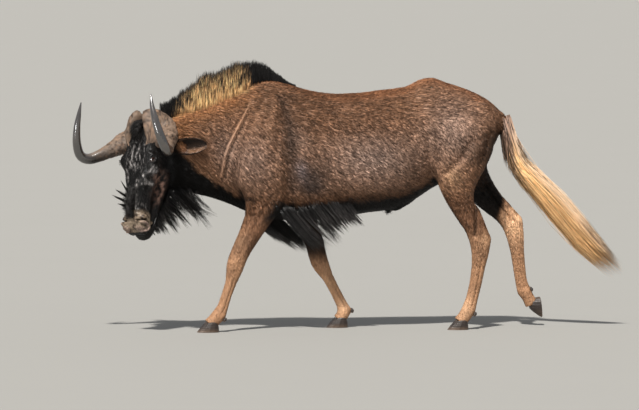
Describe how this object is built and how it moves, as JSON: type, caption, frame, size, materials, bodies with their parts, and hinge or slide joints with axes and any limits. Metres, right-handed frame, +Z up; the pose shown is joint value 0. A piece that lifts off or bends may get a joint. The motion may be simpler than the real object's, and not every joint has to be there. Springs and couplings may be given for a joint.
{
  "type": "black wildebeest",
  "caption": "Still, life-size figure of a black wildebeest bull walking, its bearded head low and turned to its left, with hooked horns, a stiff mane and a long pale tail.",
  "frame": {"origin": "middle of the whole figure's bounding box in plan, at floor level", "axes": "+X towards the tail, +Y towards the animal's right side, +Z up"},
  "size_m": [2.5954, 0.5992, 1.266],
  "materials": {
    "coat": "short dark brown coat with a faint sheen",
    "leg_coat": "short reddish tan coat",
    "face_coat": "glossy black coat",
    "eye": "polished, very dark brown",
    "horn": "rough tan at the base, smooth and dark towards the tip",
    "hoof": "worn dark horn",
    "mane_hair": "stiff upright hair, cream with black tips",
    "black_hair": "long black hair",
    "tail_hair": "long cream hair"
  },
  "bodies": {
    "root": {"torso": "coat", "neck": "coat", "tail_dock": "coat", "leg_fore_left": "leg_coat", "leg_fore_right": "leg_coat", "leg_hind_left": "leg_coat", "leg_hind_right": "leg_coat", "head": "face_coat", "ear_left": "coat", "ear_right": "coat", "eye_left": "eye", "eye_right": "eye", "horn_left": "horn", "horn_right": "horn", "claw_fore_left_inner": "hoof", "claw_fore_left_outer": "hoof", "claw_fore_right_inner": "hoof", "claw_fore_right_outer": "hoof", "claw_hind_left_inner": "hoof", "claw_hind_left_outer": "hoof", "claw_hind_right_inner": "hoof", "claw_hind_right_outer": "hoof", "dewclaw_fore_left_inner": "hoof", "dewclaw_fore_left_outer": "hoof", "dewclaw_fore_right_inner": "hoof", "dewclaw_fore_right_outer": "hoof", "dewclaw_hind_left_inner": "hoof", "dewclaw_hind_left_outer": "hoof", "dewclaw_hind_right_inner": "hoof", "dewclaw_hind_right_outer": "hoof", "mane": "mane_hair", "chest_ruff": "black_hair", "beard": "black_hair", "nose_brush": "black_hair", "tail_switch": "tail_hair"}
  },
  "joints": []
}
